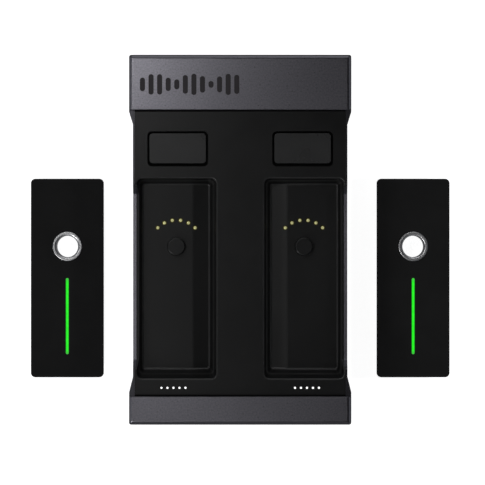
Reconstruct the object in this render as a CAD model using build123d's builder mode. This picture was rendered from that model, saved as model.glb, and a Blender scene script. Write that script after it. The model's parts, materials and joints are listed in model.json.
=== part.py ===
"""A wireless transmitter set: a two-bay charging receiver and its two record-player transmitters.

Everything is in millimetres. The receiver lies on its feet with its long side along Y, its connectors
at +Y and its bays facing +Z. One transmitter lies flat on the same surface on each side of it.
The origin is at the middle of the whole set, on the surface that it stands on.
"""

from build123d import *
import math
import os

os.makedirs("parts", exist_ok=True)

SIDES = {"left": -1, "right": 1}

# ---- Receiver: heights ----
FACE_Z = 33.5                       # black face between the two bands
BAND_Z = 36.0                       # top of the metal bands
SHELL_FOOT_Z = 1.6                  # lower edge of the metal shell
BASE_TOP_Z = 4.1

# ---- Receiver: outline ----
LENGTH = 129.6
BAND_WIDTH = 77.9
WAIST_WIDTH = 75.2
REAR_BAND_Y = 45.5                  # inner edge of the rear band
FRONT_BAND_Y = -54.95               # inner edge of the front band
REAR_FLARE = (40.4, 44.8)           # where the waist widens to the rear band
FRONT_FLARE = (-48.0, -53.4)
CAVITY_HALF_X = 36.45
CAVITY_HALF_Y = 63.0
ROOF = 1.8                          # thickness of the bands and of the tray's plate
CORNER_R = 0.8

# ---- Tray that fills the face ----
TRAY_HALF_X = 36.35
LIP_HALF_X = 36.95
LIP = 1.0                           # the tray's lip rests in a rabbet of the shell
END_GAP = 0.06                      # between the tray's rounded ends and the bands' walls
END_ROLL_R = 0.6
PLATE_Z = FACE_Z - ROOF             # underside of the face plate
TUB_WALL = 1.2

# ---- Bays ----
UNIT_Y = -13.55                     # middle of the bays, and of the transmitters, along Y
HOLE_DY = 11.2                      # spindle hole, from the middle of a transmitter
BAY_X = 22.45                       # middle of a docked transmitter
BAY_DEPTH = 8.5
BAY_FLOOR_Z = FACE_Z - BAY_DEPTH
BAY_RIM_X = (8.4, 36.3)
BAY_RIM_Y = (-48.7, 21.5)
BAY_FLOOR_X = (10.3, 34.6)
BAY_FLOOR_Y = (-45.6, 19.85)
BAY_RIM_R = 1.9
BAY_FLOOR_R = 1.3
BAY_RIM_ROLL_R = 0.6
BAY_FOOT_ROLL_R = 0.85
SCOOP_X = 16.5                      # the floor dips from here to the bay's inner wall
SCOOP_DEPTH = 0.8
SCOOP_ROLL_R = 5.0
NOTCH_Z = 30.0                      # finger notch in the outer wall of each bay
NOTCH_Y = (-42.0, 16.0)
BOSS_R = 3.2
BOSS_H = 2.6

# ---- Charging pins ----
PIN_CIRCLE_R = 9.3
PIN_ANGLES = [135 - 18 * i for i in range(6)]
PIN_PROUD = 1.0
PIN_R = 0.5
COLLAR_R = 0.6
BARREL_R = 0.8
PIN_GAP = 0.05
BARREL_FOOT_Z = 17.8

# ---- Buttons ----
BUTTON_X = 21.9
BUTTON_Y = 32.05
BUTTON_SIZE = (19.8, 10.5)
BUTTON_GAP = 0.75                   # at the rear and at both sides of a button
BUTTON_FRONT_GAP = 1.1
BUTTON_FLANGE = 1.8                 # the hidden flange reaches this far past the button
BUTTON_TOP_Z = FACE_Z + 0.2
STEM_Z = 30.1                       # where the stem meets the switch plunger
SWITCH_TOP_Z = 29.1
BUTTON_BOARD_Z = 25.6

# ---- Level lights ----
LIGHT_X = 23.4
LIGHT_Y = -51.9
LIGHT_PITCH = 2.1
LIGHT_COUNT = 5
LIGHT_R = 0.37
LIGHT_BOARD_Z = 29.2

# ---- Boards and fixings ----
MAIN_BOARD_Z = (11.0, 12.6)
STANDOFFS = [(x, y) for x in (-26.0, 26.0) for y in (-45.0, 38.0)]
CORNER_BOSSES = [(x, y) for x in (-33.0, 33.0) for y in (-59.6, 49.8)]
CORNER_BOSS_R = 2.8
TRAY_POSTS = [(x, y) for x in (-33.0, 33.0) for y in (-50.8, 41.4)]
TRAY_POST_R = 2.0
BUTTON_BOARD_POSTS = [(0, 27.5), (0, 35.5)]
PILOT_R = 0.8
SCREW_R = 1.0
SCREW_HEAD_R = 1.9
SCREW_HEAD_H = 1.3
FEET = [(x, y) for x in (-25.5, 25.5) for y in (-53.5, 53.5)]
FOOT_R = 5.0
FOOT_SEAT = 0.6

# ---- Connectors, in a recess under the rear band ----
RECESS_HALF_X = 34.0
RECESS_Z = (9.2, 26.8)
RECESS_FLOOR_Y = 55.2
PAN_WALL = 1.2
PAN_FLOOR = 1.6
PAN_FLANGE = 1.4
JACK_X = [-12.3 + 12.7 * i for i in range(4)]
JACK_Z = 19.0
JACK_R = 4.15
JACK_BODY_R = 3.9
JACK_BORE_R = 3.3
JACK_PIN_HOLE_R = 1.65
JACK_TIP_Y = 63.4
JACK_SHOULDER_R = 4.9
USB_X = -25.0
USB_SIZE = (8.94, 3.26)
USB_Z = MAIN_BOARD_Z[1] + USB_SIZE[1] / 2

# ---- Transmitters ----
UNIT_X = 61.3                       # middle of each transmitter beside the receiver
UNIT_SIZE = (25.8, 70.4)
UNIT_BASE_SIZE = (22.8, 63.2)
UNIT_R = 1.6
UNIT_HEIGHT = 11.0
PAD_H = 0.5
SPLIT_Z = 8.2                       # joint between the transmitter's shell and its cover
UNIT_WALL = 1.3
SPINDLE_R = 3.8
TUBE_R = 4.5
FLANGE_R = 5.2
BAR_SIZE = (1.1, 27.0)
BAR_DY = -13.5
UNIT_BOARD_Z = (5.7, 6.7)
UNIT_SCREWS = [(x, y) for x in (-8.0, 8.0) for y in (-25.5, 27.0)]
PAD_CONTACT_R = 1.1

# ---- Printed mark on the rear band: a plain row of upright bars ----
MARK_CENTRE = (-17.7, 54.4)
MARK_BARS = 12
MARK_PITCH = 3.0
MARK_BAR_WIDTH = 1.8
MARK_HEIGHT = 7.5
MARK_DEPTH = 0.3


def finish(piece, name):
    """Labels a finished piece and writes its STEP file."""
    piece.label = name
    export_step(piece, f"parts/{name}.step")


def span_face(span_x, span_y, z, radius):
    """A rounded rectangle over two spans, at a height."""
    with BuildSketch(Plane.XY.offset(z)) as face:
        with Locations(((span_x[0] + span_x[1]) / 2, (span_y[0] + span_y[1]) / 2)):
            RectangleRounded(span_x[1] - span_x[0], span_y[1] - span_y[0], radius)
    return face.sketch


def box_between(low, high, mode=Mode.ADD):
    """A box from its low corner to its high corner, in the part that is open."""
    with Locations(tuple((a + b) / 2 for a, b in zip(low, high))):
        Box(*[b - a for a, b in zip(low, high)], mode=mode)


def posts(places, radius, bottom, top, mode=Mode.ADD):
    """Upright cylinders at a list of places, in the part that is open."""
    with Locations([(x, y, bottom) for x, y in places]):
        Cylinder(radius, top - bottom, align=(Align.CENTER, Align.CENTER, Align.MIN), mode=mode)


def notch_cut(side):
    """Cuts the finger notch through the outer wall of one bay."""
    rise = 8.0
    with BuildSketch(Plane.YZ.offset(side * 38.0)) as outline:
        with BuildLine():
            Polyline(
                (NOTCH_Y[0], NOTCH_Z), (NOTCH_Y[1], NOTCH_Z),
                (NOTCH_Y[1] + rise, NOTCH_Z + rise), (NOTCH_Y[0] - rise, NOTCH_Z + rise),
                close=True,
            )
        make_face()
    extrude(outline.sketch, amount=4.0, both=True, mode=Mode.SUBTRACT)


def pin_places(side):
    """The six places of a bay's charging pins, on an arc round its spindle boss."""
    return [
        (
            side * BAY_X + PIN_CIRCLE_R * math.cos(math.radians(a)),
            UNIT_Y + HOLE_DY + PIN_CIRCLE_R * math.sin(math.radians(a)),
        )
        for a in PIN_ANGLES
    ]


def light_places(side):
    """The five places of a bay's level lights."""
    middle = (LIGHT_COUNT - 1) / 2
    return [(side * LIGHT_X + (i - middle) * LIGHT_PITCH, LIGHT_Y) for i in range(LIGHT_COUNT)]


def mark_sketch():
    """The mark's bars: upright strokes whose heights swell and fall like a plain level meter."""
    with BuildSketch(Plane.XY.offset(BAND_Z - MARK_DEPTH)) as bars:
        for i in range(MARK_BARS):
            x = MARK_CENTRE[0] + (i - (MARK_BARS - 1) / 2) * MARK_PITCH
            height = MARK_HEIGHT * (0.3 + 0.7 * abs(math.sin(0.5 + 0.72 * i)))
            with Locations((x, MARK_CENTRE[1])):
                RectangleRounded(MARK_BAR_WIDTH, height, MARK_BAR_WIDTH / 2 - 0.01)
    return bars.sketch


def make_upper_shell():
    """Gunmetal shell: four walls, a broad band over the rear end and a narrow one over the front."""
    half_band, half_waist, half_length = BAND_WIDTH / 2, WAIST_WIDTH / 2, LENGTH / 2
    with BuildPart() as upper_shell:
        with BuildSketch(Plane.XY.offset(SHELL_FOOT_Z)):
            with BuildLine():
                Polyline(
                    (0, half_length), (half_band, half_length),
                    (half_band, REAR_FLARE[1]), (half_waist, REAR_FLARE[0]),
                    (half_waist, FRONT_FLARE[0]), (half_band, FRONT_FLARE[1]),
                    (half_band, -half_length), (0, -half_length),
                )
                mirror(about=Plane.YZ)
            make_face()
        extrude(amount=BAND_Z - SHELL_FOOT_Z)
        corners = upper_shell.edges().filter_by(Axis.Z).filter_by(
            lambda e: abs(abs(e.center().Y) - half_length) < 0.1
        )
        fillet(corners, CORNER_R)

        # The opening between the bands, then soft outer edges on the bands and the waist.
        box_between((-50, FRONT_BAND_Y, FACE_Z), (50, REAR_BAND_Y, 50), Mode.SUBTRACT)
        band_sides = upper_shell.edges().filter_by(Axis.Y).filter_by(
            lambda e: e.center().Z > BAND_Z - 0.1 and abs(e.center().X) > half_waist
        )
        fillet(band_sides, 1.5)
        band_ends = upper_shell.edges().filter_by(Axis.X).filter_by(
            lambda e: e.center().Z > BAND_Z - 0.1
        )
        fillet(band_ends, 0.25)
        waist_edges = upper_shell.edges().filter_by(Axis.Y).filter_by(
            lambda e: abs(e.center().Z - FACE_Z) < 0.1 and abs(abs(e.center().X) - half_waist) < 0.05
        )
        fillet(waist_edges, 0.35)
        foot_edges = upper_shell.faces().sort_by(Axis.Z)[0].edges()
        chamfer(foot_edges, 0.4)

        # Inside: the cavity, the window over it and the rabbet that the tray's lip rests in.
        box_between(
            (-CAVITY_HALF_X, -CAVITY_HALF_Y, 0), (CAVITY_HALF_X, CAVITY_HALF_Y, BAND_Z - ROOF),
            Mode.SUBTRACT,
        )
        box_between(
            (-CAVITY_HALF_X, FRONT_BAND_Y, 30), (CAVITY_HALF_X, REAR_BAND_Y, 50), Mode.SUBTRACT
        )
        rabbet = LIP_HALF_X + 0.05
        box_between(
            (-rabbet, FRONT_BAND_Y, FACE_Z - LIP), (rabbet, REAR_BAND_Y, 50), Mode.SUBTRACT
        )
        for side in SIDES.values():
            notch_cut(side)

        # A web closes each band's inner end, and a ledge on it carries the tray's end.
        for edge, inward in ((REAR_BAND_Y, -1), (FRONT_BAND_Y, 1)):
            web = sorted((edge, edge - inward * 1.5))
            box_between(
                (-CAVITY_HALF_X, web[0], 29.6), (CAVITY_HALF_X, web[1], BAND_Z - ROOF)
            )
            ledge = sorted((edge, edge + inward * 2.0))
            box_between((-CAVITY_HALF_X, ledge[0], 29.6), (CAVITY_HALF_X, ledge[1], PLATE_Z))

        posts(CORNER_BOSSES, CORNER_BOSS_R, BASE_TOP_Z, BAND_Z - ROOF)
        posts(CORNER_BOSSES, PILOT_R, BASE_TOP_Z, BASE_TOP_Z + 9, Mode.SUBTRACT)

        # Window in the rear wall for the connector pan.
        box_between(
            (-RECESS_HALF_X - 0.1, CAVITY_HALF_Y - 1, RECESS_Z[0] - 0.1),
            (RECESS_HALF_X + 0.1, LENGTH / 2 + 1, RECESS_Z[1] + 0.1),
            Mode.SUBTRACT,
        )
        extrude(mark_sketch(), amount=MARK_DEPTH + 0.5, mode=Mode.SUBTRACT)
    return upper_shell.part


def make_band_mark():
    """Dark inlay that fills the mark's bars, a hair below the band's surface."""
    with BuildPart() as band_mark:
        extrude(mark_sketch(), amount=MARK_DEPTH - 0.04)
    return band_mark.part


def make_base_plate():
    """Black plate that closes the shell from below, with standoffs for the main board."""
    half_x, half_y = CAVITY_HALF_X - 0.15, CAVITY_HALF_Y - 0.15
    with BuildPart() as base_plate:
        with BuildSketch(Plane.XY.offset(SHELL_FOOT_Z)):
            RectangleRounded(2 * half_x, 2 * half_y, 0.6)
        extrude(amount=BASE_TOP_Z - SHELL_FOOT_Z)
        chamfer(base_plate.faces().sort_by(Axis.Z)[0].edges(), 0.3)
        posts(STANDOFFS, 2.6, BASE_TOP_Z, MAIN_BOARD_Z[0])
        posts(STANDOFFS, PILOT_R, MAIN_BOARD_Z[0] - 5, MAIN_BOARD_Z[0], Mode.SUBTRACT)
        fixings = CORNER_BOSSES + TRAY_POSTS
        posts(fixings, SCREW_R + 0.15, SHELL_FOOT_Z, BASE_TOP_Z, Mode.SUBTRACT)
        posts(fixings, SCREW_HEAD_R + 0.15, SHELL_FOOT_Z, SHELL_FOOT_Z + SCREW_HEAD_H, Mode.SUBTRACT)
        posts(FEET, FOOT_R + 0.05, SHELL_FOOT_Z, SHELL_FOOT_Z + FOOT_SEAT, Mode.SUBTRACT)
        # Vents under the boards.
        with Locations([(x, y, (SHELL_FOOT_Z + BASE_TOP_Z) / 2) for x in (-9, -3, 3, 9) for y in (-8,)]):
            Box(1.6, 34, BASE_TOP_Z, mode=Mode.SUBTRACT)
    return base_plate.part


def make_feet():
    """Four round rubber feet, seated in the base plate."""
    with BuildPart() as feet:
        posts(FEET, FOOT_R, 0, SHELL_FOOT_Z + FOOT_SEAT)
        rims = feet.edges().filter_by(GeomType.CIRCLE).group_by(Axis.Z)[0]
        fillet(rims, 0.5)
    return feet.part


def screw(place, seat_z, length, up=1):
    """A pan-head screw whose head sits on seat_z and whose shank runs along up times +Z."""
    x, y = place
    shank_low, shank_high = sorted((seat_z, seat_z + up * length))
    head_low, head_high = sorted((seat_z, seat_z - up * SCREW_HEAD_H * 0.9))
    posts([(x, y)], PILOT_R, shank_low, shank_high)
    posts([(x, y)], SCREW_HEAD_R, head_low, head_high)
    drive_z = head_low if up > 0 else head_high - 0.6
    with Locations((x, y, drive_z)):
        flat = (Align.CENTER, Align.CENTER, Align.MIN)
        Box(2.2, 0.5, 0.6, align=flat, mode=Mode.SUBTRACT)
        Box(0.5, 2.2, 0.6, align=flat, mode=Mode.SUBTRACT)


def make_base_screws():
    """Eight screws from below: four into the shell's corner bosses and four into the tray's posts."""
    with BuildPart() as base_screws:
        for place in CORNER_BOSSES + TRAY_POSTS:
            screw(place, SHELL_FOOT_Z + SCREW_HEAD_H, 7.5)
    return base_screws.part


def make_board_screws():
    """Four screws down into the standoffs and two up into the button board's posts."""
    with BuildPart() as board_screws:
        for place in STANDOFFS:
            screw(place, MAIN_BOARD_Z[1], 5.0, up=-1)
        for place in BUTTON_BOARD_POSTS:
            screw(place, BUTTON_BOARD_Z - 1.2, 4.5)
    return board_screws.part


def bay_section(side, z, grow):
    """A bay's outline at a height, grown outwards by grow; its walls taper evenly from rim to floor."""
    share = (z - BAY_FLOOR_Z) / BAY_DEPTH
    x_near, x_far = [a + (b - a) * share for a, b in zip(BAY_FLOOR_X, BAY_RIM_X)]
    y_low, y_high = [a + (b - a) * share for a, b in zip(BAY_FLOOR_Y, BAY_RIM_Y)]
    span_x = sorted((side * (x_near - grow), side * (x_far + grow)))
    radius = BAY_FLOOR_R + (BAY_RIM_R - BAY_FLOOR_R) * share + grow
    return span_face(span_x, (y_low - grow, y_high + grow), z, radius)


def is_crease(edge):
    """True for the long edges that only join a bay floor's flat, roll and slope."""
    x = abs(edge.center().X)
    return SCOOP_X - 3 < x < SCOOP_X + 3 and edge.length > 30


def make_bay_hollow(side):
    """The space inside a bay. Its floor is flat under the contacts, then rolls down to the inner wall."""
    foot_z = BAY_FLOOR_Z - SCOOP_DEPTH - 0.2
    slope = SCOOP_DEPTH / (SCOOP_X - BAY_FLOOR_X[0])
    crease = (side * SCOOP_X, BAY_FLOOR_Z)
    far, near = side * (BAY_FLOOR_X[1] + 2), side * (BAY_FLOOR_X[0] - 2)
    near_z = BAY_FLOOR_Z - slope * (SCOOP_X - abs(near))
    with BuildPart() as hollow:
        loft([bay_section(side, foot_z, 0), bay_section(side, FACE_Z + 0.5, 0)])
        with BuildSketch(Plane.XZ.offset(-BAY_FLOOR_Y[1] - 2)) as below_floor:
            with BuildLine():
                Polyline(
                    (far, foot_z - 1), (far, BAY_FLOOR_Z), crease, (near, near_z), (near, foot_z - 1),
                    close=True,
                )
            make_face()
            fillet(below_floor.vertices().sort_by_distance(crease)[0], SCOOP_ROLL_R)
        extrude(amount=BAY_FLOOR_Y[1] - BAY_FLOOR_Y[0] + 4, mode=Mode.SUBTRACT)
        rim_of_floor = hollow.edges().filter_by(
            lambda e: e.center().Z < BAY_FLOOR_Z + 0.01 and not is_crease(e)
        )
        fillet(rim_of_floor, BAY_FOOT_ROLL_R)
    return hollow.part


def make_bay_tray():
    """Black moulding: the face plate with two transmitter bays, button windows and light holes."""
    plate_y = (FRONT_BAND_Y + END_GAP, REAR_BAND_Y - END_GAP)
    hollows = [make_bay_hollow(side) for side in SIDES.values()]
    with BuildPart() as bay_tray:
        for side in SIDES.values():
            loft([bay_section(side, z, TUB_WALL) for z in (PLATE_Z - BAY_DEPTH, FACE_Z)])
        box_between((TRAY_HALF_X, -80, 0), (50, 80, 50), Mode.SUBTRACT)
        box_between((-50, -80, 0), (-TRAY_HALF_X, 80, 50), Mode.SUBTRACT)
        box_between((-TRAY_HALF_X, plate_y[0], PLATE_Z), (TRAY_HALF_X, plate_y[1], FACE_Z))
        box_between((-LIP_HALF_X, plate_y[0], FACE_Z - LIP), (LIP_HALF_X, plate_y[1], FACE_Z))
        for hollow in hollows:
            add(hollow, mode=Mode.SUBTRACT)
        rims = bay_tray.edges().filter_by_position(Axis.Z, FACE_Z - 0.01, FACE_Z + 0.01).filter_by(
            lambda e: BAY_RIM_Y[0] - 0.1 < e.center().Y < BAY_RIM_Y[1] + 0.1
            and abs(e.center().X) < BAY_RIM_X[1] + 0.1
        )
        fillet(rims, BAY_RIM_ROLL_R)
        ends = bay_tray.edges().filter_by(Axis.X).filter_by(
            lambda e: abs(e.center().Z - FACE_Z) < 0.01 and min(abs(e.center().Y - y) for y in plate_y) < 0.01
        )
        fillet(ends, END_ROLL_R)

        boss_top_z = BAY_FLOOR_Z + BOSS_H
        boss_places = [(side * BAY_X, UNIT_Y + HOLE_DY) for side in SIDES.values()]
        posts(boss_places, BOSS_R, BAY_FLOOR_Z - 0.5, boss_top_z)
        boss_rims = bay_tray.edges().filter_by(GeomType.CIRCLE).filter_by_position(
            Axis.Z, boss_top_z - 0.01, boss_top_z + 0.01
        )
        fillet(boss_rims, 0.5)

        for side in SIDES.values():
            notch_cut(side)
            posts(pin_places(side), BARREL_R, BAY_FLOOR_Z - 3, BAY_FLOOR_Z + 1, Mode.SUBTRACT)
            posts(light_places(side), LIGHT_R, PLATE_Z - 1, FACE_Z + 1, Mode.SUBTRACT)
            with BuildSketch(Plane.XY.offset(PLATE_Z)):
                with Locations((side * BUTTON_X, BUTTON_Y - (BUTTON_FRONT_GAP - BUTTON_GAP) / 2)):
                    RectangleRounded(
                        BUTTON_SIZE[0] + 2 * BUTTON_GAP, BUTTON_SIZE[1] + BUTTON_GAP + BUTTON_FRONT_GAP, 1.7
                    )
            extrude(amount=ROOF + 1, mode=Mode.SUBTRACT)

        posts(TRAY_POSTS, TRAY_POST_R, BASE_TOP_Z, PLATE_Z)
        posts(TRAY_POSTS, PILOT_R, BASE_TOP_Z, BASE_TOP_Z + 9, Mode.SUBTRACT)
        posts(BUTTON_BOARD_POSTS, 2.0, BUTTON_BOARD_Z, PLATE_Z)
        posts(BUTTON_BOARD_POSTS, PILOT_R, BUTTON_BOARD_Z, BUTTON_BOARD_Z + 4, Mode.SUBTRACT)
        posts([(-10, LIGHT_Y + 0.6), (10, LIGHT_Y + 0.6)], 1.2, LIGHT_BOARD_Z, PLATE_Z)
    return bay_tray.part


def make_button(side):
    """A rectangular pairing button with a hidden flange and a stem over its switch."""
    place = (side * BUTTON_X, BUTTON_Y)
    with BuildPart() as button:
        with BuildSketch(Plane.XY.offset(PLATE_Z - 0.4)):
            with Locations(place):
                RectangleRounded(*BUTTON_SIZE, 1.2)
        extrude(amount=BUTTON_TOP_Z - PLATE_Z + 0.4)
        fillet(button.faces().sort_by(Axis.Z)[-1].edges(), 0.18)
        with BuildSketch(Plane.XY.offset(PLATE_Z - 1.3)):
            with Locations(place):
                RectangleRounded(*[s + 2 * BUTTON_FLANGE for s in BUTTON_SIZE], 1.6)
        extrude(amount=1.0)
        posts([place], 1.6, STEM_Z, PLATE_Z - 1.3)
    return button.part


def make_switch_plunger(side):
    """The round plunger of the switch under a button."""
    with BuildPart() as plunger:
        posts([(side * BUTTON_X, BUTTON_Y)], 1.7, SWITCH_TOP_Z - 0.7, STEM_Z)
    return plunger.part


def make_switch_bodies():
    """The two square switch bodies on the button board, each with a well for its plunger."""
    places = [(side * BUTTON_X, BUTTON_Y) for side in SIDES.values()]
    with BuildPart() as switch_bodies:
        with Locations([(x, y, (BUTTON_BOARD_Z + SWITCH_TOP_Z) / 2) for x, y in places]):
            Box(6.0, 6.0, SWITCH_TOP_Z - BUTTON_BOARD_Z)
        posts(places, 1.8, SWITCH_TOP_Z - 1.5, SWITCH_TOP_Z, Mode.SUBTRACT)
    return switch_bodies.part


def make_button_board():
    """Board under the rear of the tray that carries both switches."""
    with BuildPart() as button_board:
        box_between((-31, 24.0, BUTTON_BOARD_Z - 1.2), (31, 39.0, BUTTON_BOARD_Z))
        posts(BUTTON_BOARD_POSTS, SCREW_R, BUTTON_BOARD_Z - 1.2, BUTTON_BOARD_Z, Mode.SUBTRACT)
    return button_board.part


def make_level_lights(side):
    """Five clear light pipes, flush with the face in front of a bay."""
    with BuildPart() as level_lights:
        posts(light_places(side), LIGHT_R, LIGHT_BOARD_Z + 0.8, FACE_Z + 0.05)
    return level_lights.part


def make_level_leds():
    """Ten light-emitting chips under the light pipes."""
    places = [p for side in SIDES.values() for p in light_places(side)]
    with BuildPart() as level_leds:
        with Locations([(x, y, LIGHT_BOARD_Z + 0.35) for x, y in places]):
            Box(1.2, 1.0, 0.7)
    return level_leds.part


def make_light_board():
    """Narrow board at the front that carries the level lights' chips."""
    with BuildPart() as light_board:
        box_between((-30, LIGHT_Y - 0.9, LIGHT_BOARD_Z - 1.0), (30, LIGHT_Y + 2.2, LIGHT_BOARD_Z))
    return light_board.part


def make_contact_block(side):
    """Insulating block under a bay's floor that holds its six pin barrels."""
    bottom, top = BARREL_FOOT_Z, BAY_FLOOR_Z - ROOF
    x, y = side * BAY_X, UNIT_Y + HOLE_DY
    with BuildPart() as contact_block:
        box_between((x - 9.2, y + 4.2, bottom), (x + 9.2, y + 12.2, top))
        chamfer(contact_block.edges().filter_by(Axis.Z), 1.0)
        posts(pin_places(side), BARREL_R, bottom, top, Mode.SUBTRACT)
    return contact_block.part


def make_pin_barrels():
    """The twelve brass barrels that the charging pins slide in."""
    low, neck, high = BARREL_FOOT_Z, BAY_FLOOR_Z - 1.1, BAY_FLOOR_Z - 0.2
    places = [p for side in SIDES.values() for p in pin_places(side)]
    with BuildPart() as pin_barrels:
        posts(places, BARREL_R, low, high)
        posts(places, COLLAR_R + PIN_GAP, low + 0.4, neck, Mode.SUBTRACT)
        posts(places, PIN_R + PIN_GAP, neck, high, Mode.SUBTRACT)
    return pin_barrels.part


def make_pin(place):
    """One spring-loaded charging pin with a domed tip and a collar that keeps it in its barrel."""
    collar_top = BAY_FLOOR_Z - 1.15
    with BuildPart() as pin:
        posts([place], COLLAR_R, collar_top - 1.0, collar_top)
        posts([place], PIN_R, collar_top, BAY_FLOOR_Z + PIN_PROUD)
        fillet(pin.edges().group_by(Axis.Z)[-1], 0.22)
    return pin.part


def make_main_board():
    """Main circuit board, on the base plate's standoffs, with the connectors at its rear edge."""
    with BuildPart() as main_board:
        box_between((-29.8, -50.0, MAIN_BOARD_Z[0]), (29.8, 52.8, MAIN_BOARD_Z[1]))
        posts(STANDOFFS, SCREW_R, *MAIN_BOARD_Z, Mode.SUBTRACT)
    return main_board.part


def make_board_chips():
    """The packages on the main board: processor, two audio converters, regulators and two capacitors."""
    top = MAIN_BOARD_Z[1]
    packages = [
        ((0, 8), (12, 12, 1.2)),
        ((-16, 26), (7, 7, 1.0)),
        ((16, 26), (7, 7, 1.0)),
        ((-18, 0), (6, 9, 1.6)),
        ((18, -2), (5, 6, 1.4)),
        ((18, -14), (4, 6, 2.2)),
    ]
    with BuildPart() as board_chips:
        for (x, y), (w, d, h) in packages:
            box_between((x - w / 2, y - d / 2, top), (x + w / 2, y + d / 2, top + h))
        posts([(-20, -16), (-20, -26)], 2.5, top, top + 5.8)
    return board_chips.part


def make_radio_shield():
    """Pressed-steel can over the radio section of the main board."""
    top = MAIN_BOARD_Z[1]
    with BuildPart() as radio_shield:
        box_between((-9, -42, top), (9, -24, top + 2.6))
        fillet(radio_shield.edges().filter_by(Axis.Z), 0.6)
        box_between((-8.7, -41.7, top), (8.7, -24.3, top + 2.3), Mode.SUBTRACT)
    return radio_shield.part


def make_antenna():
    """Flexible antenna stuck under the face, on the spine between the two bays."""
    with BuildPart() as antenna:
        box_between((-4.5, -40, PLATE_Z - 0.3), (4.5, 10, PLATE_Z))
    return antenna.part


def make_rear_panel():
    """Black connector pan: its mouth lines the shell's window and its floor holds the jacks."""
    low_z, high_z = RECESS_Z
    with BuildPart() as rear_panel:
        box_between(
            (-RECESS_HALF_X, RECESS_FLOOR_Y - PAN_FLOOR, low_z), (RECESS_HALF_X, LENGTH / 2 - 0.2, high_z)
        )
        box_between(
            (-RECESS_HALF_X - PAN_FLANGE, CAVITY_HALF_Y - 1.4, low_z - PAN_FLANGE),
            (RECESS_HALF_X + PAN_FLANGE, CAVITY_HALF_Y, high_z + PAN_FLANGE),
        )
        box_between(
            (-RECESS_HALF_X + PAN_WALL, RECESS_FLOOR_Y, low_z + PAN_WALL),
            (RECESS_HALF_X - PAN_WALL, LENGTH / 2 + 1, high_z - PAN_WALL),
            Mode.SUBTRACT,
        )
        with BuildSketch(Plane.XZ.offset(-RECESS_FLOOR_Y)):
            with Locations([(x, JACK_Z) for x in JACK_X]):
                Circle(JACK_BODY_R)
            with Locations((USB_X, USB_Z)):
                RectangleRounded(*USB_SIZE, USB_SIZE[1] / 2 - 0.05)
        extrude(amount=PAN_FLOOR, mode=Mode.SUBTRACT)
    return rear_panel.part


def tubes_along_y(radius, y_low, y_high, mode=Mode.ADD):
    """One cylinder along Y for each phono jack, in the part that is open."""
    with BuildSketch(Plane.XZ.offset(-y_high)) as ends:
        with Locations([(x, JACK_Z) for x in JACK_X]):
            Circle(radius)
    extrude(ends.sketch, amount=y_high - y_low, mode=mode)


def make_jack_block():
    """Moulded block on the main board that carries the four phono jacks."""
    back, front = 43.0, RECESS_FLOOR_Y - PAN_FLOOR
    with BuildPart() as jack_block:
        box_between(
            (JACK_X[0] - 5.0, back, MAIN_BOARD_Z[1]), (JACK_X[-1] + 4.2, front, JACK_Z + 5.2)
        )
        tubes_along_y(JACK_BODY_R, front - 4.0, front, Mode.SUBTRACT)
    return jack_block.part


def make_jack_barrels():
    """Four plated phono barrels, each with a shoulder against the pan and a rounded lip."""
    back = RECESS_FLOOR_Y - PAN_FLOOR - 4.0
    with BuildPart() as jack_barrels:
        tubes_along_y(JACK_BODY_R, back, RECESS_FLOOR_Y)
        tubes_along_y(JACK_SHOULDER_R, RECESS_FLOOR_Y, RECESS_FLOOR_Y + 0.6)
        tubes_along_y(JACK_R, RECESS_FLOOR_Y + 0.6, JACK_TIP_Y)
        lips = jack_barrels.edges().filter_by(GeomType.CIRCLE).group_by(Axis.Y)[-1]
        fillet(lips, 0.3)
        tubes_along_y(JACK_BORE_R, back, JACK_TIP_Y + 1, Mode.SUBTRACT)
    return jack_barrels.part


def make_jack_inserts(jacks):
    """The coloured insulators of two phono jacks, each with the hole for a plug's centre pin."""
    back = RECESS_FLOOR_Y - PAN_FLOOR - 4.0
    tip = JACK_TIP_Y - 0.5
    with BuildPart() as jack_inserts:
        with BuildSketch(Plane.XZ.offset(-tip)):
            with Locations([(JACK_X[i], JACK_Z) for i in jacks]):
                Circle(JACK_BORE_R)
                Circle(JACK_PIN_HOLE_R, mode=Mode.SUBTRACT)
        extrude(amount=tip - back)
    return jack_inserts.part


def make_usb_socket():
    """Supply and data socket: a drawn steel shell with its tongue, on the main board's edge."""
    back, mouth = 48.2, RECESS_FLOOR_Y + 0.1
    wall = 0.3
    with BuildPart() as usb_socket:
        with BuildSketch(Plane.XZ.offset(-mouth)):
            with Locations((USB_X, USB_Z)):
                RectangleRounded(*USB_SIZE, USB_SIZE[1] / 2 - 0.05)
        extrude(amount=mouth - back)
        with BuildSketch(Plane.XZ.offset(-mouth)):
            with Locations((USB_X, USB_Z)):
                RectangleRounded(*[s - 2 * wall for s in USB_SIZE], USB_SIZE[1] / 2 - wall - 0.05)
        extrude(amount=mouth - back - 0.8, mode=Mode.SUBTRACT)
        box_between((USB_X - 3.3, back, USB_Z - 0.35), (USB_X + 3.3, mouth - 1.0, USB_Z + 0.35))
    return usb_socket.part


def unit_plane(side, height=0.0):
    """Plane at a height in the middle of one transmitter."""
    return Plane((side * UNIT_X, UNIT_Y, height))


def contact_places():
    """The six charging contacts, on an arc round the spindle hole, from the transmitter's middle."""
    return [
        (PIN_CIRCLE_R * math.cos(math.radians(a)), HOLE_DY + PIN_CIRCLE_R * math.sin(math.radians(a)))
        for a in PIN_ANGLES
    ]


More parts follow.
